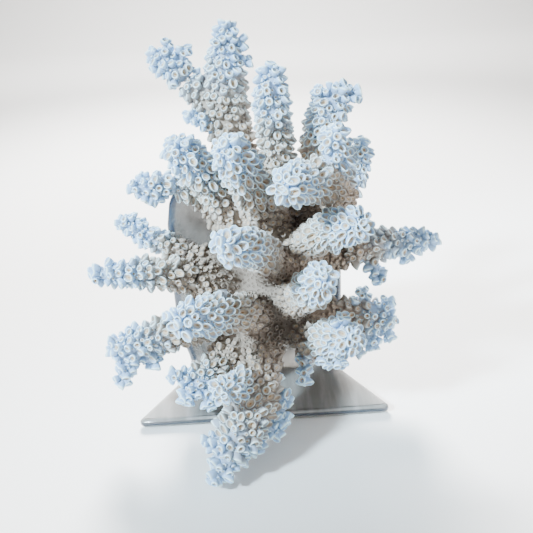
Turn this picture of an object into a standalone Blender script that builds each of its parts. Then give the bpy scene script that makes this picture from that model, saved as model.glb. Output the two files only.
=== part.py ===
# A colony of branching coral on its clear display stand.
# Built life size in metres, Z up, standing on Z = 0, seen from the front along +Y.
# The stand is one bent sheet of clear acrylic, a wide foot and an upright blade.
# The coral grows from a flat cut root on the blade and fans out as thick fingers.
import bpy
import bmesh
import math
from mathutils import Matrix
from mathutils import Vector
from mathutils import Quaternion

MM = 0.001
GAP = 0.3

# Stand, in millimetres
SHEET = 3.0
FOOT_FRONT_Y = -23.5
BLADE_FACE_Y = 17.0
BEND_RADIUS = 3.0
BEND_STEPS = 5
FOOT_HALF_FRONT = 44.5
WAIST_HALF = 28.0
BLADE_TOP = 80.0
FRONT_CORNER = 2.0
POLISHED_EDGE = 0.7
BLADE_OUTLINE = (
    (8.0, 28.4),
    (14.0, 30.2),
    (26.0, 31.9),
    (45.0, 32.4),
    (62.0, 31.9),
    (70.0, 30.6),
    (75.0, 28.2),
    (78.5, 24.0),
)
BLADE_TOP_HALF = 15.0

# Coral, in millimetres
ROOT = (3.0, 13.0, 34.0)
ROOT_RADIUS = 15.5
FINGER_SIDES = 10
LOBE_SIDES = 6
RING_STEP = 6.0
STUB_STEP = 11.0
LUMP = 0.11
LUMP_LEAN = 1.2
TIP_ROUND = 0.75
SPLINE_STEPS = 12
CUTTER = 200.0
ROOT_FLATTEN = 4.0
LOBE_LEAN = 0.75
LOBE_CLEAR = 2.2
LOWER_POINT = ((16, -6, 27, 5), (16, -13, 21, 4), (15, -18, 17, 2.8), (14, -23, 12, 1.4))


def clear_scene():
    for item in list(bpy.data.objects):
        bpy.data.objects.remove(item, do_unlink=True)


def material(name, colour, roughness, alpha=1.0):
    made = bpy.data.materials.new(name)
    made.use_nodes = True
    shader = made.node_tree.nodes["Principled BSDF"]
    shader.inputs["Base Color"].default_value = (*colour, 1.0)
    shader.inputs["Roughness"].default_value = roughness
    shader.inputs["Metallic"].default_value = 0.0
    shader.inputs["Alpha"].default_value = alpha
    return made


def coral_white():
    return material("coral_white", (0.72, 0.77, 0.80), 0.8)


def coral_root():
    return material("coral_root", (0.36, 0.32, 0.29), 0.9)


def clear_acrylic():
    return material("clear_acrylic", (0.62, 0.63, 0.60), 0.08, 0.45)


def finish(bm, name, skin):
    bmesh.ops.triangulate(bm, faces=bm.faces[:])
    bmesh.ops.recalc_face_normals(bm, faces=bm.faces[:])
    mesh = bpy.data.meshes.new(name)
    bm.to_mesh(mesh)
    bm.free()
    mesh.materials.append(skin)
    thing = bpy.data.objects.new(name, mesh)
    bpy.context.scene.collection.objects.link(thing)
    return thing


def fuse(thing, extras, operation="UNION"):
    """Grow the extra closed bodies into the first, or cut them off it."""
    if not extras:
        return thing
    for extra in extras:
        step = thing.modifiers.new("grow", "BOOLEAN")
        step.operation = operation
        step.solver = "EXACT"
        step.object = extra
    graph = bpy.context.evaluated_depsgraph_get()
    whole = bpy.data.meshes.new_from_object(thing.evaluated_get(graph))
    thing.modifiers.clear()
    skin = thing.data.materials[0]
    thing.data = whole
    whole.materials.clear()
    whole.materials.append(skin)
    for face in whole.polygons:
        face.material_index = 0
    for extra in extras:
        bpy.data.objects.remove(extra, do_unlink=True)
    bm = bmesh.new()
    bm.from_mesh(whole)
    bmesh.ops.remove_doubles(bm, verts=bm.verts[:], dist=0.05 * MM)
    bmesh.ops.dissolve_degenerate(bm, edges=bm.edges[:], dist=0.02 * MM)
    bmesh.ops.triangulate(bm, faces=bm.faces[:])
    bm.to_mesh(whole)
    bm.free()
    return thing


class Spine:
    """A smooth line through the middle of a branch, with a radius along it."""

    def __init__(self, points):
        self.centres = []
        self.radii = []
        for number in range(len(points) - 1):
            before = points[max(number - 1, 0)]
            here = points[number]
            there = points[number + 1]
            after = points[min(number + 2, len(points) - 1)]
            for step in range(SPLINE_STEPS):
                self.add(before, here, there, after, step / SPLINE_STEPS)
        self.add(points[-2], points[-1], points[-1], points[-1], 0.0)
        self.lengths = [0.0]
        for number in range(1, len(self.centres)):
            stride = (self.centres[number] - self.centres[number - 1]).length
            self.lengths.append(self.lengths[-1] + stride)
        self.frame()

    def add(self, before, here, there, after, t):
        value = []
        for axis in range(4):
            a, b, c, d = before[axis], here[axis], there[axis], after[axis]
            bend = (2 * a - 5 * b + 4 * c - d) * t * t + (3 * b - a - 3 * c + d) * t ** 3
            value.append(0.5 * (2 * b + (c - a) * t + bend))
        self.centres.append(Vector(value[:3]))
        self.radii.append(value[3])

    def frame(self):
        count = len(self.centres)
        self.tangents = []
        for number in range(count):
            low = max(number - 1, 0)
            high = min(number + 1, count - 1)
            self.tangents.append((self.centres[high] - self.centres[low]).normalized())
        side = self.tangents[0].orthogonal().normalized()
        self.sides = [side]
        for number in range(1, count):
            turn = self.tangents[number - 1].rotation_difference(self.tangents[number])
            side = turn @ side
            self.sides.append(side)

    def at(self, length):
        """Centre, radius, direction and side direction at a length along the line."""
        length = min(max(length, 0.0), self.lengths[-1])
        number = 0
        while number < len(self.lengths) - 2 and self.lengths[number + 1] < length:
            number += 1
        stride = self.lengths[number + 1] - self.lengths[number]
        t = (length - self.lengths[number]) / stride
        centre = self.centres[number].lerp(self.centres[number + 1], t)
        radius = self.radii[number] * (1 - t) + self.radii[number + 1] * t
        tangent = self.tangents[number].lerp(self.tangents[number + 1], t).normalized()
        side = self.sides[number].lerp(self.sides[number + 1], t)
        side = (side - tangent * side.dot(tangent)).normalized()
        return centre, radius, tangent, side


def ring(bm, spine, length, sides, row, lump):
    """One ring of corners round the line, every second corner raised and leaning on."""
    centre, radius, tangent, side = spine.at(length)
    corners = []
    for number in range(sides):
        turn = Quaternion(tangent, 2 * math.pi * number / sides)
        raised = 1 if (number + row) % 2 else -1
        reach = radius * (1 + lump * raised)
        lean = LUMP_LEAN * raised if lump else 0.0
        corners.append(bm.verts.new((centre + turn @ side * reach + tangent * lean) * MM))
    return corners


def bridge(bm, lower, upper):
    count = len(lower)
    for number in range(count):
        after = (number + 1) % count
        bm.faces.new((lower[number], lower[after], upper[after], upper[number]))


def branch_body(spine, begin, end, sides, lump, round_tip, step=RING_STEP):
    """A closed branch between two lengths, flat at its start."""
    bm = bmesh.new()
    steps = max(2, round((end - begin) / step))
    rows = []
    for row in range(steps + 1):
        plain = row == 0 or (row == steps and not round_tip)
        length = begin + (end - begin) * row / steps
        rows.append(ring(bm, spine, length, sides, row, 0.0 if plain else lump))
    bm.faces.new(list(reversed(rows[0])))
    for lower, upper in zip(rows, rows[1:]):
        bridge(bm, lower, upper)
    if round_tip:
        centre, radius, tangent, _ = spine.at(end)
        pole = bm.verts.new((centre + tangent * radius * TIP_ROUND) * MM)
        last = rows[-1]
        for number in range(sides):
            bm.faces.new((last[number], last[(number + 1) % sides], pole))
    else:
        bm.faces.new(rows[-1])
    return bm


def lobe(spine, tip, skin, lowest=0.0):
    """A short side branch that leaves the finger towards its tip."""
    x, y, z, radius = tip
    end = Vector((x, y, z))
    near = min(range(len(spine.centres)), key=lambda n: (spine.centres[n] - end).length)
    away = (spine.centres[near] - end).length
    leaves = max(spine.lengths[near] - LOBE_LEAN * away, lowest + LOBE_CLEAR * radius)
    start, _, _, _ = spine.at(leaves)
    line = end - start
    points = []
    for share, width in ((0.0, 1.5), (0.5, 1.3), (0.8, 1.1), (1.0, 0.75)):
        centre = start + line * share
        points.append((*centre, radius * width))
    small = Spine(points)
    bm = branch_body(small, 0.0, small.lengths[-1] - 0.5 * radius, LOBE_SIDES, 0.0, True)
    return finish(bm, "lobe", skin)


SPINES = {}
CUTS = {}
FORKS = {}


def stub(name, skin):
    """The plain start of a finger, which belongs to what it grows from."""
    spine = SPINES[name]
    bm = branch_body(spine, 0.0, CUTS[name], FINGER_SIDES, 0.0, False, STUB_STEP)
    return finish(bm, "stub", skin)


def side_finger(path, skin):
    """A finger that stays one with the finger it leaves."""
    spine = Spine(path)
    end = spine.lengths[-1] - path[-1][3] * TIP_ROUND
    return finish(branch_body(spine, 0.0, end, FINGER_SIDES - 2, LUMP, True), "side", skin)


def finger(name, path, cut, lobes=(), sides=(), forks_from=None):
    """One finger from the flat end of its stub to its round tip, with its own forks' stubs."""
    points = list(path)
    if forks_from is None:
        points.insert(0, (*ROOT, path[0][3]))
    spine = Spine(points)
    SPINES[name] = spine
    CUTS[name] = cut
    FORKS[name] = forks_from
    skin = bpy.data.materials["coral_white"]
    end = spine.lengths[-1] - path[-1][3] * TIP_ROUND
    bm = branch_body(spine, cut + GAP, end, FINGER_SIDES, LUMP, True)
    body = finish(bm, name, skin)
    extras = [lobe(spine, tip, skin, cut + GAP) for tip in lobes]
    extras += [side_finger(side, skin) for side in sides]
    extras += [stub(other, skin) for other in SPINES if FORKS[other] == name]
    return fuse(body, extras)


def crown_left_finger():
    path = ((-8, 9, 98, 6), (-13, 11, 108, 6.2), (-20, 13, 116, 6.4), (-27, 14, 122, 5.4),
            (-32, 14, 127, 2.6))
    finger("crown_left_finger", path, 23,
           ((-25, 14, 131, 2.2), (-18, 13, 127.5, 2.4), (-33, 14, 120, 2)), forks_from="crown_finger")


def crown_finger():
    path = ((0.5, 6, 63, 9.2), (-1.5, 7, 76, 9.2), (-4.5, 8, 91, 8.7), (-6, 8, 105, 8.5),
            (-6, 9, 119, 8.2), (-5, 9, 127, 7), (-4.5, 9, 136, 3.2))
    finger("crown_finger", path, 60, ((-21, 3, 106, 2.4), (3, 9, 130, 2), (4.5, 9, 123, 2)))


def upper_middle_finger():
    path = ((10, 3, 63, 7.4), (11, -4, 78, 7.1), (10, -9, 93, 7.1), (9, -12, 107, 7.1),
            (9, -13, 117, 6.4), (10, -13, 124, 3.9))
    finger("upper_middle_finger", path, 55, ((4, -14, 120, 2.4),))


def upper_front_finger():
    path = ((6, -4, 60, 8), (3, -18, 77, 7.6), (-1, -32, 91, 7.4), (-4, -42, 101, 6.9),
            (-7, -47, 106, 4.5))
    finger("upper_front_finger", path, 54)


def left_shoulder_finger():
    path = ((-4, 3, 64, 7.4), (-10, -4, 78, 7.4), (-17, -11, 90, 7.5), (-22, -15, 97, 6.9),
            (-25, -17, 102, 4.9))
    finger("left_shoulder_finger", path, 58, ((-20, 1, 98, 2.6),))


def left_upper_arm():
    path = ((-10, 9, 64, 6.1), (-18, 7, 76, 5.4), (-25, 3, 81, 5.2), (-34, 0, 82, 5.2),
            (-39, -1, 82, 4.5), (-43, -1, 81, 2.4))
    finger("left_upper_arm", path, 60, ((-38, 0, 87, 2), (-38, -2, 76, 2), (-33, -2, 75, 2)))


def left_back_arm():
    path = ((-10, 10, 46.5, 5.8), (-22, 10, 51.5, 5.4), (-34, 10, 57.5, 5.2), (-43, 11, 63.5, 4.9),
            (-47.5, 11, 69, 3.4))
    finger("left_back_arm", path, 36, ((-51, 11, 65.5, 2.2), (-39, 9, 66.5, 1.8)))


def left_front_arm():
    path = ((-4, 6, 39, 7), (-16, -3, 46, 7.2), (-31, -11, 53, 7), (-44, -16, 56, 6),
            (-51, -18, 57, 4.7), (-56, -19, 56, 2.4))
    finger("left_front_arm", path, 37, ((-49, -17, 62, 2.4),))


def lower_left_arm():
    path = ((-7, 4, 32, 7.5), (-16, -4, 33, 7.5), (-28, -12, 32, 7.7), (-40, -18, 31, 7.4),
            (-48, -21, 31, 6.4), (-53, -22, 30, 3.8))
    finger("lower_left_arm", path, 39, ((-50, -24, 16, 3.1), (-40, -20, 20, 2.6)))


def left_front_finger():
    path = ((1, -5, 34, 7.4), (-3, -22, 41, 7.2), (-9, -38, 48, 7.4), (-16, -51, 53, 7.2),
            (-21, -58, 55, 6.6), (-24, -63, 56, 3.8))
    finger("left_front_finger", path, 42)


def middle_front_finger():
    path = ((6, -8, 52, 6.4), (4.5, -25, 61, 6.3), (2.5, -42, 70, 6.5), (-1.5, -58, 76.8, 6.3),
            (-6, -66.5, 80.3, 5.4), (-9, -71.5, 83, 3.3))
    finger("middle_front_finger", path, 48)


def right_upper_front_finger():
    path = ((18, 2, 58, 6.5), (26, -7, 68, 6.8), (29, -18, 78, 7), (25, -31, 87, 7.2),
            (18, -45, 92, 7.2), (12, -57, 94, 6.2), (9, -62, 95, 3.7))
    upward = ((28, -21, 80, 6), (29, -26, 89, 6.2), (28, -32, 97, 6), (27, -36, 103, 5),
              (26.5, -38.5, 105.5, 3))
    finger("right_upper_front_finger", path, 54, (), (upward,))


def right_upper_finger():
    path = ((17, 8, 62, 6.8), (22, 7, 76, 6.8), (24, 2, 90, 7), (26, -3, 101, 7.4),
            (30, -6, 108, 7.4), (34, -7, 115, 3.9))
    finger("right_upper_finger", path, 58, ((40, -6, 111, 2.4), (24, -8, 115, 2.4)))


def right_shoulder_finger():
    path = ((24, 9, 60, 5.6), (34, 10, 73, 5.7), (38, 9, 80, 5.5), (40, 9, 87, 5.3), (39, 8.5, 93, 3.7))
    finger("right_shoulder_finger", path, 55)


def right_front_finger():
    path = ((13, -4, 53.5, 7), (18, -19, 63.5, 6.8), (23, -33, 71.5, 6.9), (28, -44, 76.5, 6.9),
            (31, -51, 79.3, 6.1), (33.5, -56, 81, 4.1))
    finger("right_front_finger", path, 46)


def right_arm():
    path = ((22, 9, 47, 6.6), (33, 7, 51, 7), (44, 5, 54, 7.2), (55, 4, 54, 6.3),
            (62, 3, 55, 4.7), (67, 3, 55, 2.5))
    finger("right_arm", path, 36, ((46, 2, 39, 2.9), (57, 3, 46, 2.6)))


def right_middle_finger():
    path = ((10, -5, 37, 7), (13.5, -20, 45, 7), (17, -36, 53, 6.9), (18, -50, 60, 6.6),
            (19.5, -58, 65, 5.7), (20.5, -63, 70, 3.5))
    finger("right_middle_finger", path, 46)


def right_lower_front_finger():
    path = ((14.5, -4, 26, 7.2), (20, -17, 28, 7.3), (24.5, -30, 33, 7.2), (28, -40, 37.5, 6.5),
            (31, -46, 39.5, 4.1))
    finger("right_lower_front_finger", path, 42,
           ((27, -38, 46.5, 2.5), (28, -36, 25, 2.5), (22, -30, 22, 2.7)))


def right_lower_arm():
    path = ((19, 5, 28, 7.2), (30, 3, 27, 7.7), (40, 1, 27, 7.9), (47, -1, 27, 6.2),
            (51, -2, 27, 3.6))
    finger("right_lower_arm", path, 30,
           ((40, 1, 39, 2.8), (49, -2, 36, 2.6), (49, -3, 18, 2.6), (43, -5, 15, 2.6),
            (36, -7, 14, 2.5)))


def bottom_finger():
    path = ((2, -12, 29, 7.1), (0, -27, 25, 7.6), (-2, -41, 21, 9), (-6, -52, 17, 9.4),
            (-10, -59, 12, 8.2), (-14, -64, 7, 5), (-18, -68, 3, 1.6))
    upward = ((-2, -37, 22, 5), (-6, -47, 27, 5.2), (-10, -57, 31, 5), (-13, -65, 34, 3))
    finger("bottom_finger", path, 44,
           ((9.5, -40, 14, 2.6), (8.5, -45, 9, 2.8), (4.5, -50.5, 7, 3.2),
            (-1, -55, 5.5, 3), (-21, -60, 14, 2.2)),
           (upward,))


def lower_left_finger():
    path = ((-8, -3, 21, 6.4), (-14, -10, 18, 6.2), (-20, -17, 17, 5.8), (-25, -22, 13, 4.9),
            (-28, -26, 9, 2.4))
    finger("lower_left_finger", path, 36, ((-34, -22, 19, 2.4), (-17, -26, 6, 2.8)))


FINGERS = (
    crown_left_finger,
    crown_finger,
    upper_middle_finger,
    upper_front_finger,
    left_shoulder_finger,
    left_upper_arm,
    left_back_arm,
    left_front_arm,
    lower_left_arm,
    left_front_finger,
    middle_front_finger,
    right_upper_front_finger,
    right_upper_finger,
    right_shoulder_finger,
    right_front_finger,
    right_arm,
    right_middle_finger,
    right_lower_front_finger,
    right_lower_arm,
    bottom_finger,
    lower_left_finger,
)


def root_mass():
    """The old root, cut flat where it meets the blade, with a stub for every finger."""
    skin = bpy.data.materials["coral_root"]
    x, y, z = ROOT
    back = BLADE_FACE_Y - GAP
    spread = ((x, back, z, ROOT_RADIUS), (x, y - 4, z, ROOT_RADIUS * 1.1),
              (x, y - 12, z, ROOT_RADIUS), (x, y - 20, z, ROOT_RADIUS * 0.6))
    spine = Spine(spread)
    bm = branch_body(spine, 0.0, spine.lengths[-1], FINGER_SIDES, 0.0, True)
    body = finish(bm, "root_mass", skin)
    stubs = [stub(name, skin) for name in SPINES if FORKS[name] is None]
    stubs.append(side_finger(LOWER_POINT, skin))
    fuse(body, stubs)
    bm = bmesh.new()
    behind = Matrix.Translation((0.0, (back + CUTTER / 2) * MM, CUTTER / 2 * MM))
    bmesh.ops.create_cube(bm, size=CUTTER * MM, matrix=behind)
    fuse(body, [finish(bm, "saw_cut", skin)], "DIFFERENCE")
    bm = bmesh.new()
    bm.from_mesh(body.data)
    bmesh.ops.dissolve_limit(bm, angle_limit=math.radians(ROOT_FLATTEN),
                             verts=bm.verts[:], edges=bm.edges[:])
    bmesh.ops.triangulate(bm, faces=bm.faces[:])
    bm.to_mesh(body.data)
    bm.free()


def stand_profile():
    """Stations along the sheet: foot, bend and blade, each an outer and inner line."""
    outer = BEND_RADIUS + SHEET
    middle_y = BLADE_FACE_Y - BEND_RADIUS
    stations = []
    for y, share in ((FOOT_FRONT_Y, 0.0), (FOOT_FRONT_Y + FRONT_CORNER, 0.0), (middle_y, 1.0)):
        half = FOOT_HALF_FRONT + (WAIST_HALF - FOOT_HALF_FRONT) * share
        stations.append(((y, 0.0), (y, SHEET), half))
    front = stations[0]
    stations[0] = (front[0], front[1], front[2] - FRONT_CORNER)
    for step in range(1, BEND_STEPS + 1):
        angle = 0.5 * math.pi * step / BEND_STEPS
        low = (middle_y + outer * math.sin(angle), outer * (1 - math.cos(angle)))
        high = (middle_y + BEND_RADIUS * math.sin(angle), outer - BEND_RADIUS * math.cos(angle))
        stations.append((low, high, WAIST_HALF))
    back = BLADE_FACE_Y + SHEET
    for height, half in BLADE_OUTLINE + ((BLADE_TOP, BLADE_TOP_HALF),):
        stations.append(((back, height), (BLADE_FACE_Y, height), half))
    return stations


def stand():
    """One sheet of clear acrylic, cut to shape, bent hot and flame polished."""
    bm = bmesh.new()
    rows = []
    for low, high, half in stand_profile():
        row = []
        for x, (y, z) in ((-half, low), (half, low), (half, high), (-half, high)):
            row.append(bm.verts.new((x * MM, y * MM, z * MM)))
        rows.append(row)
    bm.faces.new(rows[0])
    for lower, upper in zip(rows, rows[1:]):
        bridge(bm, lower, upper)
    bm.faces.new(list(reversed(rows[-1])))
    bmesh.ops.recalc_face_normals(bm, faces=bm.faces[:])
    bm.normal_update()
    rims = [edge for edge in bm.edges if edge.calc_face_angle(0.0) > math.radians(60)]
    bmesh.ops.bevel(bm, geom=rims, offset=POLISHED_EDGE * MM, affect="EDGES", segments=1)
    finish(bm, "stand", bpy.data.materials["clear_acrylic"])


def build():
    clear_scene()
    coral_white()
    coral_root()
    clear_acrylic()
    stand()
    for grow in FINGERS:
        grow()
    root_mass()


build()
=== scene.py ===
import math
import random
import bmesh
import bpy
import numpy as np
from mathutils import Matrix, Vector


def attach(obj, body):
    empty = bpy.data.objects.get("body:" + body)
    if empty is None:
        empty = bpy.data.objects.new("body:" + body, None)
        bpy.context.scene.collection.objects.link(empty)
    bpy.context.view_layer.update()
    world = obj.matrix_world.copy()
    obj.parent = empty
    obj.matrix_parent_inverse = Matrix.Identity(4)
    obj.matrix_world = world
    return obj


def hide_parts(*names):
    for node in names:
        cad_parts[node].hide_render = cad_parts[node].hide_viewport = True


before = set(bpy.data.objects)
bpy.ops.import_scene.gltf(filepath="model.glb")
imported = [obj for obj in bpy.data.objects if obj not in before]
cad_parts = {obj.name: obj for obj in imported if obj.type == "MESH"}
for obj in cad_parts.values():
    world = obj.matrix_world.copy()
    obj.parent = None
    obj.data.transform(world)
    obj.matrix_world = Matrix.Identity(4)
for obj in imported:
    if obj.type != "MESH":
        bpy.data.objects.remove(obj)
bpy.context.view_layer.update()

# The stand
# One sheet of clear cast acrylic, 3 mm thick, sawn to a trapezoid foot and a flared blade,
# bent once over a hot wire at the waist, with every edge flame polished round.
MM = 0.001
SHEET = 3.0
FOOT_FRONT = -23.5
BLADE_FACE = 17.0
BEND_INSIDE = 3.0
FOOT_LENGTH = BLADE_FACE - BEND_INSIDE - FOOT_FRONT
BEND_LENGTH = (BEND_INSIDE + SHEET) * math.pi / 2
BEND_TOP = BEND_INSIDE + SHEET
BLADE_START = FOOT_LENGTH + BEND_LENGTH
# length along the sheet from the foot's front edge, half its width there
SHEET_OUTLINE = (
    (0.0, 42.6), (1.0, 43.9), (2.2, 44.2), (FOOT_LENGTH, 28.0),
    (BLADE_START, 28.0), (BLADE_START + 2, 28.4), (BLADE_START + 8, 30.2),
    (BLADE_START + 20, 31.9), (BLADE_START + 39, 32.4), (BLADE_START + 56, 31.9),
    (BLADE_START + 64, 30.6), (BLADE_START + 69, 28.2), (BLADE_START + 72.5, 24.0),
    (BLADE_START + 74, 15.0),
)
STRIPS_ACROSS = 8
FOOT_STEPS = 6
BEND_STEPS = 12
TOP_STEPS = 8
EDGE_ROUND = 1.4
EDGE_STEPS = 4
NO_MARGIN = 60.0


def new_piece(bm, name, skin, nodes, smooth=60.0):
    """Closes a finished bmesh into a piece that stands for its CAD nodes."""
    mesh = bpy.data.meshes.new(name)
    bm.to_mesh(mesh)
    bm.free()
    piece = bpy.data.objects.new(name, mesh)
    bpy.context.scene.collection.objects.link(piece)
    mesh.materials.append(skin)
    mesh.shade_smooth()
    mesh.set_sharp_from_angle(angle=math.radians(smooth))
    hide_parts(*nodes)
    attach(piece, "root")
    return piece


EVEN = (1.0, 1.0, 1.0)


class Amount:
    """A value that varies over a surface. Sums on it add the Math nodes."""

    def __init__(self, finish, socket):
        self.finish = finish
        self.socket = socket

    def sum(self, operation, first, second):
        return self.finish.node("ShaderNodeMath", {"operation": operation}, {0: first, 1: second})

    def __add__(self, other):
        return self.sum("ADD", self, other)

    def __radd__(self, other):
        return self.sum("ADD", other, self)

    def __sub__(self, other):
        return self.sum("SUBTRACT", self, other)

    def __rsub__(self, other):
        return self.sum("SUBTRACT", other, self)

    def __mul__(self, other):
        return self.sum("MULTIPLY", self, other)

    def __rmul__(self, other):
        return self.sum("MULTIPLY", other, self)


class Finish:
    """A material whose nodes are asked for by type, settings and inputs."""

    def __init__(self, name):
        self.material = bpy.data.materials.new(name)
        self.material.use_nodes = True
        self.tree = self.material.node_tree
        self.shader = self.tree.nodes["Principled BSDF"]

    def node(self, kind, settings=None, inputs=None, output=0):
        made = self.tree.nodes.new(kind)
        for key, value in (settings or {}).items():
            setattr(made, key, value)
        for key, value in (inputs or {}).items():
            self.feed(made.inputs[key], value)
        return Amount(self, made.outputs[output])

    def feed(self, socket, value):
        if isinstance(value, Amount):
            self.tree.links.new(value.socket, socket)
        else:
            socket.default_value = value

    def shade(self, **inputs):
        for key, value in inputs.items():
            self.feed(self.shader.inputs[key.replace("_", " ")], value)

    def place(self, scale):
        where = self.node("ShaderNodeTexCoord", output="Object")
        return self.node("ShaderNodeMapping", {}, {"Vector": where, "Scale": scale})

    def grain(self, scale, size, detail=3.0, roughness=0.55):
        return self.node("ShaderNodeTexNoise", {}, {"Vector": self.place(scale), "Scale": size,
                                                    "Detail": detail, "Roughness": roughness})

    def between(self, value, low, high, start=0.0, end=1.0):
        return self.node("ShaderNodeMapRange", {"interpolation_type": "SMOOTHSTEP"},
                         {"Value": value, "From Min": low, "From Max": high,
                          "To Min": start, "To Max": end})

    def mix(self, amount, first, second):
        made = self.tree.nodes.new("ShaderNodeMix")
        made.data_type = "RGBA"
        for number, value in ((0, amount), (6, first), (7, second)):
            if number and not isinstance(value, Amount):
                value = (*value, 1.0)
            self.feed(made.inputs[number], value)
        return Amount(self, made.outputs[2])

    def bump(self, height, strength, distance):
        return self.node("ShaderNodeBump", {}, {"Height": height, "Strength": strength,
                                                "Distance": distance})


def clear_sheet_finish():
    """Clear sheet that reads grey. The foot's paler tint is painted light, standing for the light
    the sheet lets through onto the floor under it; the dark navy along its edges is painted
    shade, standing for the light its polished edges bend away. It passes half of its light, and
    its coat stands for the reflection of its second face."""
    look = Finish("clear_sheet")
    streaks = look.grain((260.0, 30.0, 60.0), 1.0, 4.0)
    smears = look.grain(EVEN, 55.0, 3.0)
    rim = look.node("ShaderNodeAttribute", {"attribute_name": "rim"}, output="Fac")
    raised = look.node("ShaderNodeSeparateXYZ", {}, {0: look.place(EVEN)}, output=2)
    faint = look.between(streaks, 0.35, 0.7)
    blade = look.mix(faint, (0.13, 0.128, 0.123), (0.165, 0.162, 0.156))
    # Paler tint on the foot: painted light for the light the sheet lets through onto the floor
    # under it.
    foot = look.mix(faint, (0.44, 0.432, 0.413), (0.62, 0.61, 0.585))
    tint = look.mix(look.between(raised, 0.002, 0.010), foot, blade)
    margin = look.node("ShaderNodeAttribute", {"attribute_name": "margin"}, output="Fac")
    # Navy on the rounded edges and in a band about 3 mm wide inside the blade's outline: painted
    # shade for the light the polished edges bend away.
    tint = look.mix(look.between(rim, 0.3, 0.85), tint, (0.03, 0.05, 0.08))
    tint = look.mix(look.between(margin, 2.2, 3.2, 1.0, 0.0), tint, (0.02, 0.035, 0.06))
    polish = look.between(smears, 0.3, 0.75, 0.12, 0.24) * look.between(rim, 0.1, 0.6, 1.0, 0.3)
    look.shade(Base_Color=tint, Roughness=polish,
               Transmission_Weight=0.5, IOR=1.49, Specular_IOR_Level=0.5, Metallic=0.0,
               Coat_Weight=1.0, Coat_Roughness=0.1, Coat_IOR=1.49,
               Normal=look.bump(streaks, 0.12, 0.0006))
    return look.material


def sheet_half_width(length):
    """Half the sheet's width at a length along it from the foot's front edge."""
    for (low, wide_low), (high, wide_high) in zip(SHEET_OUTLINE, SHEET_OUTLINE[1:]):
        if length <= high:
            return wide_low + (wide_high - wide_low) * (length - low) / (high - low)
    return SHEET_OUTLINE[-1][1]


def bent_place(length):
    """Where the sheet's lower and rear face runs, as (y, z), at a length along it."""
    if length <= FOOT_LENGTH:
        return FOOT_FRONT + length, 0.0
    middle = FOOT_FRONT + FOOT_LENGTH
    turn = (length - FOOT_LENGTH) / BEND_TOP
    if length <= BLADE_START:
        return middle + BEND_TOP * math.sin(turn), BEND_TOP * (1 - math.cos(turn))
    return middle + BEND_TOP, BEND_TOP + length - BLADE_START


def depth_in_sheet(y, z):
    """How far a place lies inside the sheet from its lower and rear face."""
    middle = FOOT_FRONT + FOOT_LENGTH
    if y < middle:
        return z
    if z > BEND_TOP:
        return middle + BEND_TOP - y
    return BEND_TOP - math.hypot(y - middle, z - BEND_TOP)


def stand_sheet():
    """Lays the sheet out flat, bends it, gives it its thickness and rounds its edges."""
    whole = SHEET_OUTLINE[-1][0]
    bend_marks = {FOOT_LENGTH + BEND_LENGTH * step / BEND_STEPS for step in range(1, BEND_STEPS)}
    marks = sorted({mark for mark, _ in SHEET_OUTLINE} | bend_marks
                   | {FOOT_LENGTH * step / FOOT_STEPS for step in range(1, FOOT_STEPS)}
                   | {whole - TOP_STEPS + step for step in range(TOP_STEPS)})
    bm = bmesh.new()
    bmesh.ops.create_grid(bm, x_segments=STRIPS_ACROSS, y_segments=len(marks) - 1, size=0.5)
    for corner in bm.verts:
        row = round((corner.co.y + 0.5) * (len(marks) - 1))
        y, z = bent_place(marks[row])
        corner.co = Vector((2 * corner.co.x * sheet_half_width(marks[row]), y, z)) * MM
    bmesh.ops.recalc_face_normals(bm, faces=bm.faces[:])
    lowest = min(bm.faces, key=lambda face: face.calc_center_median().z)
    if lowest.normal.z > 0:
        bmesh.ops.reverse_faces(bm, faces=bm.faces[:])
    bmesh.ops.solidify(bm, geom=bm.faces[:], thickness=SHEET * MM)
    bmesh.ops.recalc_face_normals(bm, faces=bm.faces[:])
    bm.normal_update()
    rims = [edge for edge in bm.edges if edge.calc_face_angle(0.0) > math.radians(60)]
    bmesh.ops.bevel(bm, geom=rims, offset=EDGE_ROUND * MM, segments=EDGE_STEPS, profile=0.5,
                    affect="EDGES", material=-1)
    rim = bm.verts.layers.float.new("rim")
    margin = bm.verts.layers.float.new("margin")
    for corner in bm.verts:
        depth = depth_in_sheet(corner.co.y / MM, corner.co.z / MM)
        corner[rim] = max(0.0, 1.0 - abs(depth / (SHEET / 2) - 1.0))
        length = BLADE_START + corner.co.z / MM - BEND_TOP
        wide = sheet_half_width(length) if length > BLADE_START else NO_MARGIN
        corner[margin] = wide - abs(corner.co.x) / MM
    return new_piece(bm, "stand_sheet", clear_sheet_finish(), ["stand"], 40.0)


stand_sheet()

# The coral's growth lines
# One colony of branching coral, bleached, cut off flat at its old root and glued by the cut
# to the blade. Every finger grew along a line from the root; its cups lean along that line.
ROOT = (3.0, 13.0, 34.0)
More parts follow.
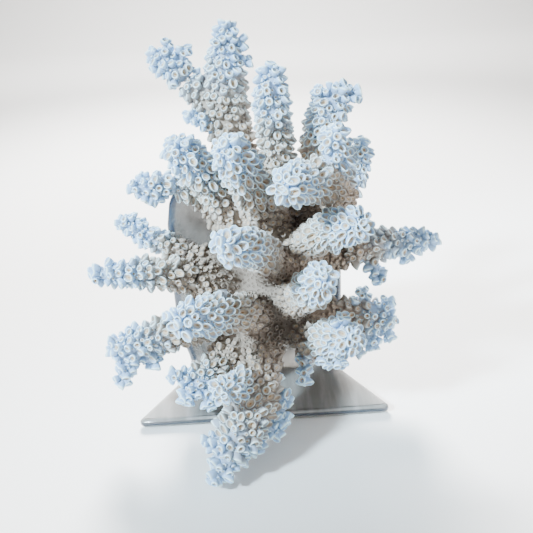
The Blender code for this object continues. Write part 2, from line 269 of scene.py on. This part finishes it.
# how far along its line a finger's piece starts, the finger it forks from, the places
# (x, y, z, radius) of its line, the tips of its lobes, the lines of its short side fingers
GROWTH = {
    "crown_left_finger": (
        23, "crown_finger",
        ((-8, 9, 98, 6), (-13, 11, 108, 6.2), (-20, 13, 116, 6.4), (-27, 14, 122, 5.4),
         (-32, 14, 127, 2.6)),
        ((-25, 14, 131, 2.2), (-18, 13, 127.5, 2.4), (-33, 14, 120, 2)), ()),
    "crown_finger": (
        60, None,
        ((0.5, 6, 63, 9.2), (-1.5, 7, 76, 9.2), (-4.5, 8, 91, 8.7), (-6, 8, 105, 8.5),
         (-6, 9, 119, 8.2), (-5, 9, 127, 7), (-4.5, 9, 136, 3.2)),
        ((-21, 3, 106, 2.4), (3, 9, 130, 2), (4.5, 9, 123, 2)), ()),
    "upper_middle_finger": (
        55, None,
        ((10, 3, 63, 7.4), (11, -4, 78, 7.1), (10, -9, 93, 7.1), (9, -12, 107, 7.1),
         (9, -13, 117, 6.4), (10, -13, 124, 3.9)),
        ((4, -14, 120, 2.4),), ()),
    "upper_front_finger": (
        54, None,
        ((6, -4, 60, 8), (3, -18, 77, 7.6), (-1, -32, 91, 7.4), (-4, -42, 101, 6.9),
         (-7, -47, 106, 4.5)),
        (), ()),
    "left_shoulder_finger": (
        58, None,
        ((-4, 3, 64, 7.4), (-10, -4, 78, 7.4), (-17, -11, 90, 7.5), (-22, -15, 97, 6.9),
         (-25, -17, 102, 4.9)),
        ((-20, 1, 98, 2.6),), ()),
    "left_upper_arm": (
        60, None,
        ((-10, 9, 64, 6.1), (-18, 7, 76, 5.4), (-25, 3, 81, 5.2), (-34, 0, 82, 5.2),
         (-39, -1, 82, 4.5), (-43, -1, 81, 2.4)),
        ((-38, 0, 87, 2), (-38, -2, 76, 2), (-33, -2, 75, 2)), ()),
    "left_back_arm": (
        36, None,
        ((-10, 10, 46.5, 5.8), (-22, 10, 51.5, 5.4), (-34, 10, 57.5, 5.2), (-43, 11, 63.5, 4.9),
         (-47.5, 11, 69, 3.4)),
        ((-51, 11, 65.5, 2.2), (-39, 9, 66.5, 1.8)), ()),
    "left_front_arm": (
        37, None,
        ((-4, 6, 39, 7), (-16, -3, 46, 7.2), (-31, -11, 53, 7), (-44, -16, 56, 6),
         (-51, -18, 57, 4.7), (-56, -19, 56, 2.4)),
        ((-49, -17, 62, 2.4),), ()),
    "lower_left_arm": (
        39, None,
        ((-7, 4, 32, 7.5), (-16, -4, 33, 7.5), (-28, -12, 32, 7.7), (-40, -18, 31, 7.4),
         (-48, -21, 31, 6.4), (-53, -22, 30, 3.8)),
        ((-50, -24, 16, 3.1), (-40, -20, 20, 2.6)), ()),
    "left_front_finger": (
        42, None,
        ((1, -5, 34, 7.4), (-3, -22, 41, 7.2), (-9, -38, 48, 7.4), (-16, -51, 53, 7.2),
         (-21, -58, 55, 6.6), (-24, -63, 56, 3.8)),
        (), ()),
    "middle_front_finger": (
        48, None,
        ((6, -8, 52, 6.4), (4.5, -25, 61, 6.3), (2.5, -42, 70, 6.5), (-1.5, -58, 76.8, 6.3),
         (-6, -66.5, 80.3, 5.4), (-9, -71.5, 83, 3.3)),
        (), ()),
    "right_upper_front_finger": (
        54, None,
        ((18, 2, 58, 6.5), (26, -7, 68, 6.8), (29, -18, 78, 7), (25, -31, 87, 7.2),
         (18, -45, 92, 7.2), (12, -57, 94, 6.2), (9, -62, 95, 3.7)),
        (),
        (((28, -21, 80, 6), (29, -26, 89, 6.2), (28, -32, 97, 6), (27, -36, 103, 5),
          (26.5, -38.5, 105.5, 3)),)),
    "right_upper_finger": (
        58, None,
        ((17, 8, 62, 6.8), (22, 7, 76, 6.8), (24, 2, 90, 7), (26, -3, 101, 7.4),
         (30, -6, 108, 7.4), (34, -7, 115, 3.9)),
        ((40, -6, 111, 2.4), (24, -8, 115, 2.4)), ()),
    "right_shoulder_finger": (
        55, None,
        ((24, 9, 60, 5.6), (34, 10, 73, 5.7), (38, 9, 80, 5.5), (40, 9, 87, 5.3),
         (39, 8.5, 93, 3.7)),
        (), ()),
    "right_front_finger": (
        46, None,
        ((13, -4, 53.5, 7), (18, -19, 63.5, 6.8), (23, -33, 71.5, 6.9), (28, -44, 76.5, 6.9),
         (31, -51, 79.3, 6.1), (33.5, -56, 81, 4.1)),
        (), ()),
    "right_arm": (
        36, None,
        ((22, 9, 47, 6.6), (33, 7, 51, 7), (44, 5, 54, 7.2), (55, 4, 54, 6.3),
         (62, 3, 55, 4.7), (67, 3, 55, 2.5)),
        ((46, 2, 39, 2.9), (57, 3, 46, 2.6)), ()),
    "right_middle_finger": (
        46, None,
        ((10, -5, 37, 7), (13.5, -20, 45, 7), (17, -36, 53, 6.9), (18, -50, 60, 6.6),
         (19.5, -58, 65, 5.7), (20.5, -63, 70, 3.5)),
        (), ()),
    "right_lower_front_finger": (
        42, None,
        ((14.5, -4, 26, 7.2), (20, -17, 28, 7.3), (24.5, -30, 33, 7.2), (28, -40, 37.5, 6.5),
         (31, -46, 39.5, 4.1)),
        ((27, -38, 46.5, 2.5), (28, -36, 25, 2.5), (22, -30, 22, 2.7)), ()),
    "right_lower_arm": (
        30, None,
        ((19, 5, 28, 7.2), (30, 3, 27, 7.7), (40, 1, 27, 7.9), (47, -1, 27, 6.2),
         (51, -2, 27, 3.6)),
        ((40, 1, 39, 2.8), (49, -2, 36, 2.6), (49, -3, 18, 2.6), (43, -5, 15, 2.6),
         (36, -7, 14, 2.5)), ()),
    "bottom_finger": (
        44, None,
        ((2, -12, 29, 7.1), (0, -27, 25, 7.6), (-2, -41, 21, 9), (-6, -52, 17, 9.4),
         (-10, -59, 12, 8.2), (-14, -64, 7, 5), (-18, -68, 3, 1.6)),
        ((9.5, -40, 14, 2.6), (8.5, -45, 9, 2.8), (4.5, -50.5, 7, 3.2), (-1, -55, 5.5, 3),
         (-21, -60, 14, 2.2)),
        (((-2, -37, 22, 5), (-6, -47, 27, 5.2), (-10, -57, 31, 5), (-13, -65, 34, 3)),)),
    "lower_left_finger": (
        36, None,
        ((-8, -3, 21, 6.4), (-14, -10, 18, 6.2), (-20, -17, 17, 5.8), (-25, -22, 13, 4.9),
         (-28, -26, 9, 2.4)),
        ((-34, -22, 19, 2.4), (-17, -26, 6, 2.8)), ()),
}
LOWER_POINT = ((16, -6, 27, 5), (16, -13, 21, 4), (15, -18, 17, 2.8), (14, -23, 12, 1.4))
FORK_AGE = {"crown_finger": 60.0, "right_upper_front_finger": 55.0, "bottom_finger": 45.0}
LOWER_POINT_AGE = 30.0
LOBE_BACK = 0.75
# share of the way to a lobe's tip, its width there as a share of the tip's radius
LOBE_SHAPE = ((0.0, 1.5), (0.5, 1.3), (0.8, 1.1), (1.0, 0.75))
# columns of a growth line's samples, after x, y and z
RADIUS, WAY, AGE, TO_GO = 3, slice(4, 7), 7, 8


def growth_line(points, age=0.0):
    """Samples along a growth line: place, direction, radius, age from the root, way to go."""
    knots = np.array(points, float)
    knots = np.vstack((2 * knots[0] - knots[1], knots, 2 * knots[-1] - knots[-2]))
    samples = []
    for a, b, c, d in zip(knots, knots[1:], knots[2:], knots[3:]):
        for t in np.arange(0.0, 1.0, 0.1):
            samples.append(0.5 * (2 * b + (c - a) * t + (2 * a - 5 * b + 4 * c - d) * t * t
                                  + (3 * b - a - 3 * c + d) * t ** 3))
    samples.append(knots[-2])
    samples = np.array(samples)
    way = np.gradient(samples[:, :3], axis=0)
    strides = np.linalg.norm(np.diff(samples[:, :3], axis=0), axis=1)
    gone = np.concatenate(([0.0], np.cumsum(strides)))
    way /= np.linalg.norm(way, axis=1)[:, None]
    return np.column_stack((samples, way, gone + age, gone[-1] - gone))


def finger_lines(name):
    """All growth lines of one finger, its lobes and its side fingers."""
    _, grows_from, path, lobes, sides = GROWTH[name]
    start = [] if grows_from else [(*ROOT, path[0][3])]
    main = growth_line(start + list(path), FORK_AGE.get(grows_from, 0.0))
    lines = [main]
    for x, y, z, radius in lobes:
        tip = np.array((x, y, z), float)
        away = np.linalg.norm(main[:, :3] - tip, axis=1)
        near = int(away.argmin())
        leaves = int(np.abs(main[:, AGE] - (main[near, AGE] - LOBE_BACK * away[near])).argmin())
        foot = main[leaves, :3]
        stretch = [(*(foot + (tip - foot) * share), radius * width)
                   for share, width in LOBE_SHAPE]
        lines.append(growth_line(stretch, main[leaves, AGE]))
    for side in sides:
        lines.append(growth_line(side, FORK_AGE[name]))
    return lines


# The coral's skeleton
# Chalky aragonite, matt and finely grained, bluish white where it grew last and greyer brown
# towards the old root. Each cup is a small tube whose lower lip reaches out over its mouth.
ICE = (0.345, 0.56, 0.83)
PALE = (0.37, 0.34, 0.305)
RIM_WHITE = (0.72, 0.95, 1.0)
RIM_PALE = (0.41, 0.375, 0.34)
WARM = (0.34, 0.285, 0.235)
# the skin between the cups is darkened with this colour as painted shade
CREVICE_SHADE = (0.34, 0.28, 0.225)
OLD = (0.21, 0.17, 0.138)
SAND = (0.58, 0.48, 0.36)
# these darken the bottoms of the cups, the hollows of old cups and the pinholes as painted shade
PORE_SHADE = (0.34, 0.20, 0.10)
OLD_PORE_SHADE = (0.09, 0.065, 0.05)
PINHOLE_SCALE = 640.0


def coral_finish():
    """Coloured by age, depth in the cup's mouth and height on its lip, with fine pinholes.
    Painted shade darkens the skin between the cups, the hollows of the cups and the pinholes.
    """
    look = Finish("coral_skeleton")
    growth = look.node("ShaderNodeAttribute", {"attribute_name": "growth"}, output="Fac")
    hollow = look.node("ShaderNodeAttribute", {"attribute_name": "hollow"}, output="Fac")
    lip = look.node("ShaderNodeAttribute", {"attribute_name": "lip"}, output="Fac")
    clouds = look.grain(EVEN, 70.0, 3.0)
    specks = look.grain(EVEN, 1100.0, 2.0)
    pores = look.node("ShaderNodeTexVoronoi", {"feature": "F1"},
                      {"Vector": look.place(EVEN), "Scale": PINHOLE_SCALE, "Randomness": 0.85},
                      output="Distance")
    pinholes = look.between(pores, 0.12, 0.34, 1.0, 0.0) * look.between(lip, 0.0, 0.2, 1.0, 0.0)
    age = growth + (clouds - 0.5) * 0.3
    skin = look.mix(look.between(age, 0.0, 0.35), OLD, WARM)
    skin = look.mix(look.between(age, 0.2, 0.65), skin, PALE)
    skin = look.mix(look.between(age, 0.6, 1.0), skin, ICE)
    # Painted shade: the low skin between the cups is darkened, less towards the young tips and
    # not on the oldest skin.
    painted_crevice_shade = look.between(lip, 0.0, 0.6, 0.85, 0.0) * look.between(growth, 0.3, 0.9, 1.0, 0.3)
    skin = look.mix(painted_crevice_shade * look.between(growth, 0.03, 0.22), skin, CREVICE_SHADE)
    skin = look.mix(look.between(specks, 0.35, 0.7) * 0.2, skin, WARM)
    rim = look.mix(look.between(growth, 0.35, 0.9), RIM_PALE, RIM_WHITE)
    skin = look.mix(look.between(lip, 0.68, 1.0) * look.between(growth, 0.05, 0.5), skin, rim)
    # Painted shade down in the cups: the hollows of old cups go nearly black, and the bottom of
    # every hollow goes darker brown.
    inside = look.mix(look.between(growth, 0.0, 0.25), OLD_PORE_SHADE, SAND)
    skin = look.mix(look.between(hollow, 0.2, 0.65), skin, inside)
    pore_shade = look.mix(look.between(growth, 0.0, 0.25), OLD_PORE_SHADE, PORE_SHADE)
    skin = look.mix(look.between(hollow, 0.7, 1.0), skin, pore_shade)
    # Painted shade in the fine pinholes, darker on older skin; the pits themselves are bumped in
    # below.
    skin = look.mix(pinholes * look.between(growth, 0.0, 0.3, 0.6, 0.2), skin, OLD_PORE_SHADE)
    height = specks * 0.5 - pinholes
    look.shade(Base_Color=skin, Roughness=look.between(specks, 0.2, 0.8, 0.7, 0.9),
               Specular_IOR_Level=0.3, Normal=look.bump(height, 0.5, 0.0003))
    return look.material


ON_AXIS = 1e-3
AXIS_MERGE = 1e-4


def turned_cup(profile, sides, longer, lip_rise, lip_round):
    """One cup turned on its axis, longer along X, its +X side raised into a round lip."""
    bm = bmesh.new()
    hollow = bm.verts.layers.float.new("hollow")
    lip = bm.verts.layers.float.new("lip")
    bm.verts.layers.float.new("growth")
    corners = []
    for radius, height, depth, edge in profile:
        corner = bm.verts.new((radius, 0.0, height))
        corner[hollow], corner[lip] = depth, edge
        corners.append(corner)
    edges = [bm.edges.new(pair) for pair in zip(corners, corners[1:])]
    bmesh.ops.spin(bm, geom=corners + edges, axis=(0, 0, 1), cent=(0, 0, 0), dvec=(0, 0, 0),
                   angle=2 * math.pi, steps=sides, use_merge=True, use_duplicate=False)
    bmesh.ops.remove_doubles(bm, verts=bm.verts[:], dist=AXIS_MERGE)
    bmesh.ops.recalc_face_normals(bm, faces=bm.faces[:])
    top = max(height for _, height, _, _ in profile)
    for corner in bm.verts:
        out = math.hypot(corner.co.x, corner.co.y)
        if out > ON_AXIS:
            corner.co.x += longer * corner.co.x / out
        if corner.co.z > 0:
            rise = lip_rise * corner.co.x - lip_round * corner.co.x ** 2
            corner.co.z += rise * (corner.co.z / top) ** 2
    mesh = bpy.data.meshes.new("cup")
    bm.to_mesh(mesh)
    bm.free()
    for face in mesh.polygons:
        face.use_smooth = True
    return mesh


# radius, height, how deep in the hollow, how far up to the lip; lengths in millimetres
SCOOP = turned_cup(((0.0, -1.3, 0, 0), (1.06, 0.3, 0, 0.1), (1.18, 1.35, 0, 0.6),
                    (1.08, 2.0, 0, 0.95), (0.92, 2.14, 0, 1), (0.77, 1.6, 0.3, 0.3),
                    (0.42, 1.0, 0.7, 0), (0.0, 0.7, 1, 0)),
                   sides=9, longer=0.36, lip_rise=0.56, lip_round=0.20)
ROUND_CUP = turned_cup(((0.0, -1.3, 0, 0), (1.08, 0.3, 0, 0.1), (1.22, 1.25, 0, 0.6),
                        (1.08, 1.86, 0, 0.95), (0.87, 2.02, 0, 1), (0.68, 1.5, 0.3, 0.3),
                        (0.34, 0.9, 0.8, 0), (0.0, 0.6, 1, 0)),
                       sides=9, longer=0.10, lip_rise=0.30, lip_round=0.06)
TUBE = turned_cup(((0.0, -1.2, 0, 0), (1.30, 0.7, 0, 0.4), (1.14, 1.52, 0, 1),
                   (0.76, 1.6, 0, 1), (0.40, 1.1, 0.7, 0), (0.0, 0.8, 1, 0)),
                  sides=8, longer=0.10, lip_rise=0.28, lip_round=0.06)
NUB = turned_cup(((0.0, -1.0, 0, 0), (1.18, 0.7, 0, 0.5), (0.78, 1.4, 0, 1),
                  (0.38, 0.95, 0.7, 0), (0.0, 0.7, 1, 0)),
                 sides=6, longer=0.08, lip_rise=0.2, lip_round=0.0)
PIT = turned_cup(((0.0, -0.9, 0, 0), (0.95, -0.3, 0, 0), (0.66, 0.22, 0, 0.45),
                  (0.36, 0.16, 0.6, 0.2), (0.0, -0.2, 1, 0)),
                 sides=6, longer=0.05, lip_rise=0.0, lip_round=0.0)


def nearest_growth(places, lines):
    """For each place, the sample of the growth line whose surface it lies on."""
    samples = np.vstack(lines)
    gaps = np.linalg.norm(places[:, None, :] - samples[None, :, :3], axis=2)
    return samples[np.abs(gaps - samples[None, :, RADIUS]).argmin(axis=1)]


SUNK_TO_AGE = 21.0
RISEN_OVER = 17.0
YOUNG_WITHIN = 62.0
YOUNG_OVER = 30.0
LOW_SHARE = 0.25


def cup_height(age, to_go):
    """How tall the cups stand, from 0 at the sunk old ones to 1 at the young tips."""
    old = np.clip((age - SUNK_TO_AGE) / RISEN_OVER, 0.0, 1.0)
    young = np.clip((YOUNG_WITHIN - to_go) / YOUNG_OVER, 0.0, 1.0)
    return old * (LOW_SHARE + (1.0 - LOW_SHARE) * young)


CORE_GRAIN = 1.3
CORE_WELD = 1e-6
CORE_SMOOTHINGS = 5
PIT_DEPTH = 0.2
TALL_CUP = 2.15
THINNEST_CORE = 0.38
TUCKED_BEHIND = 3.0
TUCK = 1.6


def core_of(node, lines, cut_plane):
    """The finger's own body under its cups, from the CAD solid, smoothed and drawn in."""
    bm = bmesh.new()
    bm.from_mesh(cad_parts[node].data)
    bmesh.ops.remove_doubles(bm, verts=bm.verts[:], dist=CORE_WELD)
    mesh = bpy.data.meshes.new("core")
    bm.to_mesh(mesh)
    bm.free()
    rough = bpy.data.objects.new("core", mesh)
    bpy.context.scene.collection.objects.link(rough)
    grain = rough.modifiers.new("grain", "REMESH")
    grain.mode = "VOXEL"
    grain.voxel_size = CORE_GRAIN * MM
    grain.adaptivity = 0.0
    graph = bpy.context.evaluated_depsgraph_get()
    fine = bpy.data.meshes.new_from_object(rough.evaluated_get(graph))
    bpy.data.objects.remove(rough, do_unlink=True)
    bm = bmesh.new()
    bm.from_mesh(fine)
    for _ in range(CORE_SMOOTHINGS):
        bmesh.ops.smooth_vert(bm, verts=bm.verts[:], factor=0.5, use_axis_x=True,
                              use_axis_y=True, use_axis_z=True)
    bm.normal_update()
    places = np.array([corner.co[:] for corner in bm.verts]) / MM
    near = nearest_growth(places, lines)
    height = cup_height(near[:, AGE], near[:, TO_GO])
    full = PIT_DEPTH + TALL_CUP * height
    drawn_in = np.minimum(full, THINNEST_CORE * near[:, RADIUS])
    growth = bm.verts.layers.float.new("growth")
    bm.verts.layers.float.new("hollow")
    bm.verts.layers.float.new("lip")
    for number, corner in enumerate(bm.verts):
        way = Vector(near[number, WAY])
        corner.co -= corner.normal * float(drawn_in[number]) * MM
        ahead = max(0.0, corner.normal.dot(way))
        corner.co -= way * ahead * float(full[number] - drawn_in[number]) * MM
        if cut_plane is not None:
            past_cut = (corner.co / MM - cut_plane[0]).dot(cut_plane[1])
            if past_cut < TUCKED_BEHIND:
                corner.co -= cut_plane[1] * (TUCKED_BEHIND - past_cut) * TUCK * MM
        corner[growth] = whiteness(near[number, AGE], near[number, TO_GO])
    return bm, near, height


TAKEN = {}
CELL = 3.5


def free_place(place, way, across, along):
    """True, and the place is taken, if no cup stands too near across or along the growth."""
    cell = tuple(int(math.floor(part / CELL)) for part in place)
    for dx in (-1, 0, 1):
        for dy in (-1, 0, 1):
            for dz in (-1, 0, 1):
                for other in TAKEN.get((cell[0] + dx, cell[1] + dy, cell[2] + dz), ()):
                    gap = other - place
                    forward = gap.dot(way)
                    sideways = gap.length_squared - forward * forward
                    if sideways / across ** 2 + forward * forward / along ** 2 < 1.0:
                        return False
    TAKEN.setdefault(cell, []).append(place)
    return True


PITS_BELOW = 0.14
TUBES_BELOW = 0.6
TIP_LENGTH = 26.0
TUBES_FROM = (24.0, 44.0)
SIZES = (0.86, 1.12)
NUB_LEANS = (0.3, 0.7)
TUBE_LEANS = (0.3, 0.65)
LEAN_SPREAD = 0.15
SIDE_SPREAD = 0.2


def cup_on(bm, place, normal, way, height, growth, chance, tip_way, share):
    """Sets one cup at a place, leaning along the growth line."""
    young = max(0.0, 1.0 - tip_way / TIP_LENGTH)
    size = chance.uniform(*SIZES)
    if height < PITS_BELOW:
        kind, lean = PIT, 0.12
    elif share < 1.0:
        kind, lean = NUB, chance.uniform(*NUB_LEANS)
    elif height < TUBES_BELOW or tip_way > chance.uniform(*TUBES_FROM):
        kind, lean = TUBE, chance.uniform(*TUBE_LEANS)
        size *= 0.75 + 0.3 * height
    elif chance.random() < 0.75 - 0.5 * max(0.0, -way.y):
        kind, lean = ROUND_CUP, 0.5 - 0.2 * young
        size *= 1.06
    else:
        kind, lean = SCOOP, 0.62 - 0.15 * young
        size *= 1.13
    size *= share
    across = way - normal * way.dot(normal)
    if across.length < 0.2:
        across = normal.orthogonal()
    across.normalize()
    lean += chance.uniform(-LEAN_SPREAD, LEAN_SPREAD)
    sideways = normal.cross(across) * chance.uniform(-SIDE_SPREAD, SIDE_SPREAD)
    axis = (normal * math.cos(lean) + across * math.sin(lean) + sideways).normalized()
    lower = normal - axis * normal.dot(axis)
    if lower.length < 0.15:
        lower = -across
    lower = (lower - axis * lower.dot(axis)).normalized()
    turn = Matrix((lower, axis.cross(lower), axis)).transposed().to_4x4()
    stretch = Matrix.Diagonal((size * chance.uniform(0.88, 1.12), size * chance.uniform(0.9, 1.1),
                               size * chance.uniform(0.85, 1.12), 1.0))
    cup = kind.copy()
    cup.transform(Matrix.Translation(place * MM) @ turn @ stretch @ Matrix.Scale(MM, 4))
    cup.attributes["growth"].data.foreach_set("value", [growth] * len(cup.vertices))
    bm.from_mesh(cup)
    bpy.data.meshes.remove(cup)


WHITE_BACK = 52.0
BROWN_TO_AGE = 20.0
WHITE_OVER = 26.0


def whiteness(age, to_go):
    """How white the skeleton is, from 0 at the old root to 1 at a growing tip."""
    near_tip = np.clip(1.15 - to_go / WHITE_BACK, 0.05, 1.0)
    return float(near_tip * np.clip((age - BROWN_TO_AGE) / WHITE_OVER, 0.0, 1.0))


BLADE_HALF_WIDTH = 34.0
BLADE_TOP = 82.0
BLADE_GAP = 0.5


def against_blade(rim):
    """True where a cup would stand into the blade the colony is glued to."""
    return (rim.y > BLADE_FACE - BLADE_GAP and abs(rim.x) < BLADE_HALF_WIDTH
            and rim.z < BLADE_TOP)


STUB_END = 2.0
FACES_ON = 0.6


def inside_finger(sample, normal, way, cut_plane):
    """True on the root's faces that its fingers grow on from, where no cup is seen."""
    return cut_plane is None and sample[TO_GO] < STUB_END and normal.dot(way) > FACES_ON


# least gaps between cups in millimetres, across and along the growth, in the first pass
# with full cups and in the second with small buds between them
FULL, BUD = 1.0, 0.62
PIT_GAPS = (1.7, 1.8)
TUBE_GAPS = {FULL: (2.2, 2.5), BUD: (1.65, 1.85)}
TIP_GAPS = (2.6, 3.05)
CUT_MARGIN = 0.8
RIM_RISE = 2.2


def coral_piece(name, node, lines, cut_plane, skin, seed):
    """A node's body with all its cups grown on it."""
    chance = random.Random(seed)
    bm, near, height = core_of(node, lines, cut_plane)
    seats = [(corner.co / MM, corner.normal.copy(), number)
             for number, corner in enumerate(bm.verts)]
    seats += [(face.calc_center_median() / MM, face.normal.copy(), face.verts[0].index)
              for face in bm.faces]
    chance.shuffle(seats)
    for share in (FULL, BUD):
        for place, normal, number in seats:
            if cut_plane is not None and (place - cut_plane[0]).dot(cut_plane[1]) < CUT_MARGIN:
                continue
            tall = float(height[number])
            way = Vector(near[number, WAY])
            rim = place + normal * (RIM_RISE * tall)
            if against_blade(rim) or inside_finger(near[number], normal, way, cut_plane):
                continue
            if tall < PITS_BELOW:
                if share == BUD:
                    continue
                across, along = PIT_GAPS
            elif tall < TUBES_BELOW:
                across, along = TUBE_GAPS[share]
            else:
                across, along = (gap * share for gap in TIP_GAPS)
            if not free_place(rim, way, across, along):
                continue
            to_go = near[number, TO_GO]
            growth = whiteness(near[number, AGE], to_go)
            cup_on(bm, place, normal, way, tall, growth, chance, to_go, share)
    return new_piece(bm, name, skin, [node], 180.0)


def cut_at(line, cut):
    """Where a finger's node starts on its growth line, and the way it grows there."""
    first = line[0, AGE]
    sample = line[int(np.abs(line[:, AGE] - first - cut).argmin())]
    return Vector(sample[:3]), Vector(sample[WAY])


FINGER_SEED = 100
ROOT_SEED = 99
coral = coral_finish()
ALL_LINES = {name: finger_lines(name) for name in GROWTH}
for number, name in enumerate(GROWTH):
    cut_plane = cut_at(ALL_LINES[name][0], GROWTH[name][0])
    lines = list(ALL_LINES[name])
    lines += [ALL_LINES[other][0] for other in GROWTH if GROWTH[other][1] == name]
    coral_piece("coral_" + name, name, lines, cut_plane, coral,
                FINGER_SEED + number)

root_lines = [ALL_LINES[name][0] for name in GROWTH if GROWTH[name][1] is None]
root_lines.append(growth_line(LOWER_POINT, LOWER_POINT_AGE))
coral_piece("coral_root_mass", "root_mass", root_lines, None, coral, ROOT_SEED)

# The studio
# A pale sweep of paper under the stand and up behind it. A cool soft light on the left in
# front, a weak fill on the right, a lamp behind that throws the soft shadow forward, a glow on
# the backdrop and a pale even surround.
def paper_finish():
    look = Finish("pale_paper")
    fibre = look.grain(EVEN, 300.0, 2.0)
    look.shade(Base_Color=look.mix(fibre, (0.93, 0.92, 0.90), (0.95, 0.94, 0.92)),
               Roughness=look.between(fibre, 0.2, 0.8, 0.85, 0.95))
    return look.material


PAPER_WIDTH = 5.0
PAPER_LENGTH = 4.0
PAPER_NEAR_EDGE = -1.2
PAPER_FLAT = 2.3
PAPER_CURVED = 0.5
PAPER_BEND = 0.32
PAPER_TOP = -0.0002


def paper_sweep():
    bm = bmesh.new()
    bmesh.ops.create_grid(bm, x_segments=1, y_segments=48, size=0.5)
    for corner in bm.verts:
        along = (corner.co.y + 0.5) * PAPER_LENGTH
        y = PAPER_NEAR_EDGE + min(along, PAPER_FLAT)
        z = PAPER_TOP
        if along > PAPER_FLAT:
            turn = min((along - PAPER_FLAT) / PAPER_CURVED, 1.0) * math.pi / 2
            y += PAPER_BEND * math.sin(turn)
            z += PAPER_BEND * (1 - math.cos(turn))
            z += max(along - PAPER_FLAT - PAPER_CURVED, 0.0)
        corner.co = Vector((corner.co.x * PAPER_WIDTH, y, z))
    mesh = bpy.data.meshes.new("paper_sweep")
    bm.to_mesh(mesh)
    bm.free()
    sweep = bpy.data.objects.new("paper_sweep", mesh)
    bpy.context.scene.collection.objects.link(sweep)
    mesh.materials.append(paper_finish())
    mesh.shade_smooth()


def soft_light(name, place, size, power, colour, target, spread, glossy=True):
    """A round lamp aimed at its target. Without glossy, the clear sheet doesn't mirror it."""
    lamp = bpy.data.lights.new(name, "AREA")
    lamp.shape = "DISK"
    lamp.size = size
    lamp.energy = power
    lamp.color = colour
    lamp.spread = math.radians(spread)
    holder = bpy.data.objects.new(name, lamp)
    holder.location = place
    holder.visible_glossy = glossy
    holder.visible_transmission = glossy
    holder.rotation_euler = (Vector(target) - Vector(place)).to_track_quat("-Z", "Y").to_euler()
    bpy.context.scene.collection.objects.link(holder)


paper_sweep()
WHITE = (1.0, 1.0, 1.0)
soft_light("key", (-0.66, -0.66, 0.68), size=0.22, power=0.56, colour=(0.66, 0.86, 1.0),
           target=(0.0, -0.018, 0.074), spread=12.2)
soft_light("fill", (0.75, -0.75, 0.20), size=0.12, power=0.012, colour=(1.0, 0.98, 0.96),
           target=(0.050, 0.0, 0.036), spread=8.0)
soft_light("from_behind", (-0.08, 0.94, 0.52), size=0.35, power=10.5, colour=WHITE,
           target=(0.0, 0.0, 0.0), spread=60.0, glossy=False)
soft_light("backdrop_glow", (0.0, 0.80, 0.70), size=0.5, power=6.5, colour=WHITE,
           target=(0.0, 1.0, 0.0), spread=100.0)
world = bpy.data.worlds.new("surround")
world.use_nodes = True
surround = world.node_tree.nodes["Background"].inputs
surround["Color"].default_value = (1.0, 0.975, 0.95, 1.0)
surround["Strength"].default_value = 0.77
bpy.context.scene.world = world

# The photographer's view
# From the front, 20 degrees above the stand, a hand-held camera rolled a little, with a
# lens of about 63 mm on a 36 mm wide picture.
LOOK_AT = Vector((4.0, 4.0, 48.0)) * MM
AWAY = 0.340
LENS = 63.15
PICTURE_WIDTH = 36.0
ELEVATION = math.radians(20.0)
ROLL = math.radians(3.6)
back = Vector((0.0, -math.cos(ELEVATION), math.sin(ELEVATION)))
level = Vector((1.0, 0.0, 0.0))
upright = back.cross(level)
right = level * math.cos(ROLL) - upright * math.sin(ROLL)
camera_up = level * math.sin(ROLL) + upright * math.cos(ROLL)
view = bpy.data.cameras.new("photographer")
view.lens = LENS
view.sensor_width = PICTURE_WIDTH
view.clip_start = 0.01
eye = bpy.data.objects.new("photographer", view)
eye.matrix_world = Matrix((
    (right.x, camera_up.x, back.x, LOOK_AT.x + AWAY * back.x),
    (right.y, camera_up.y, back.y, LOOK_AT.y + AWAY * back.y),
    (right.z, camera_up.z, back.z, LOOK_AT.z + AWAY * back.z),
    (0.0, 0.0, 0.0, 1.0),
))
bpy.context.scene.collection.objects.link(eye)
bpy.context.scene.camera = eye
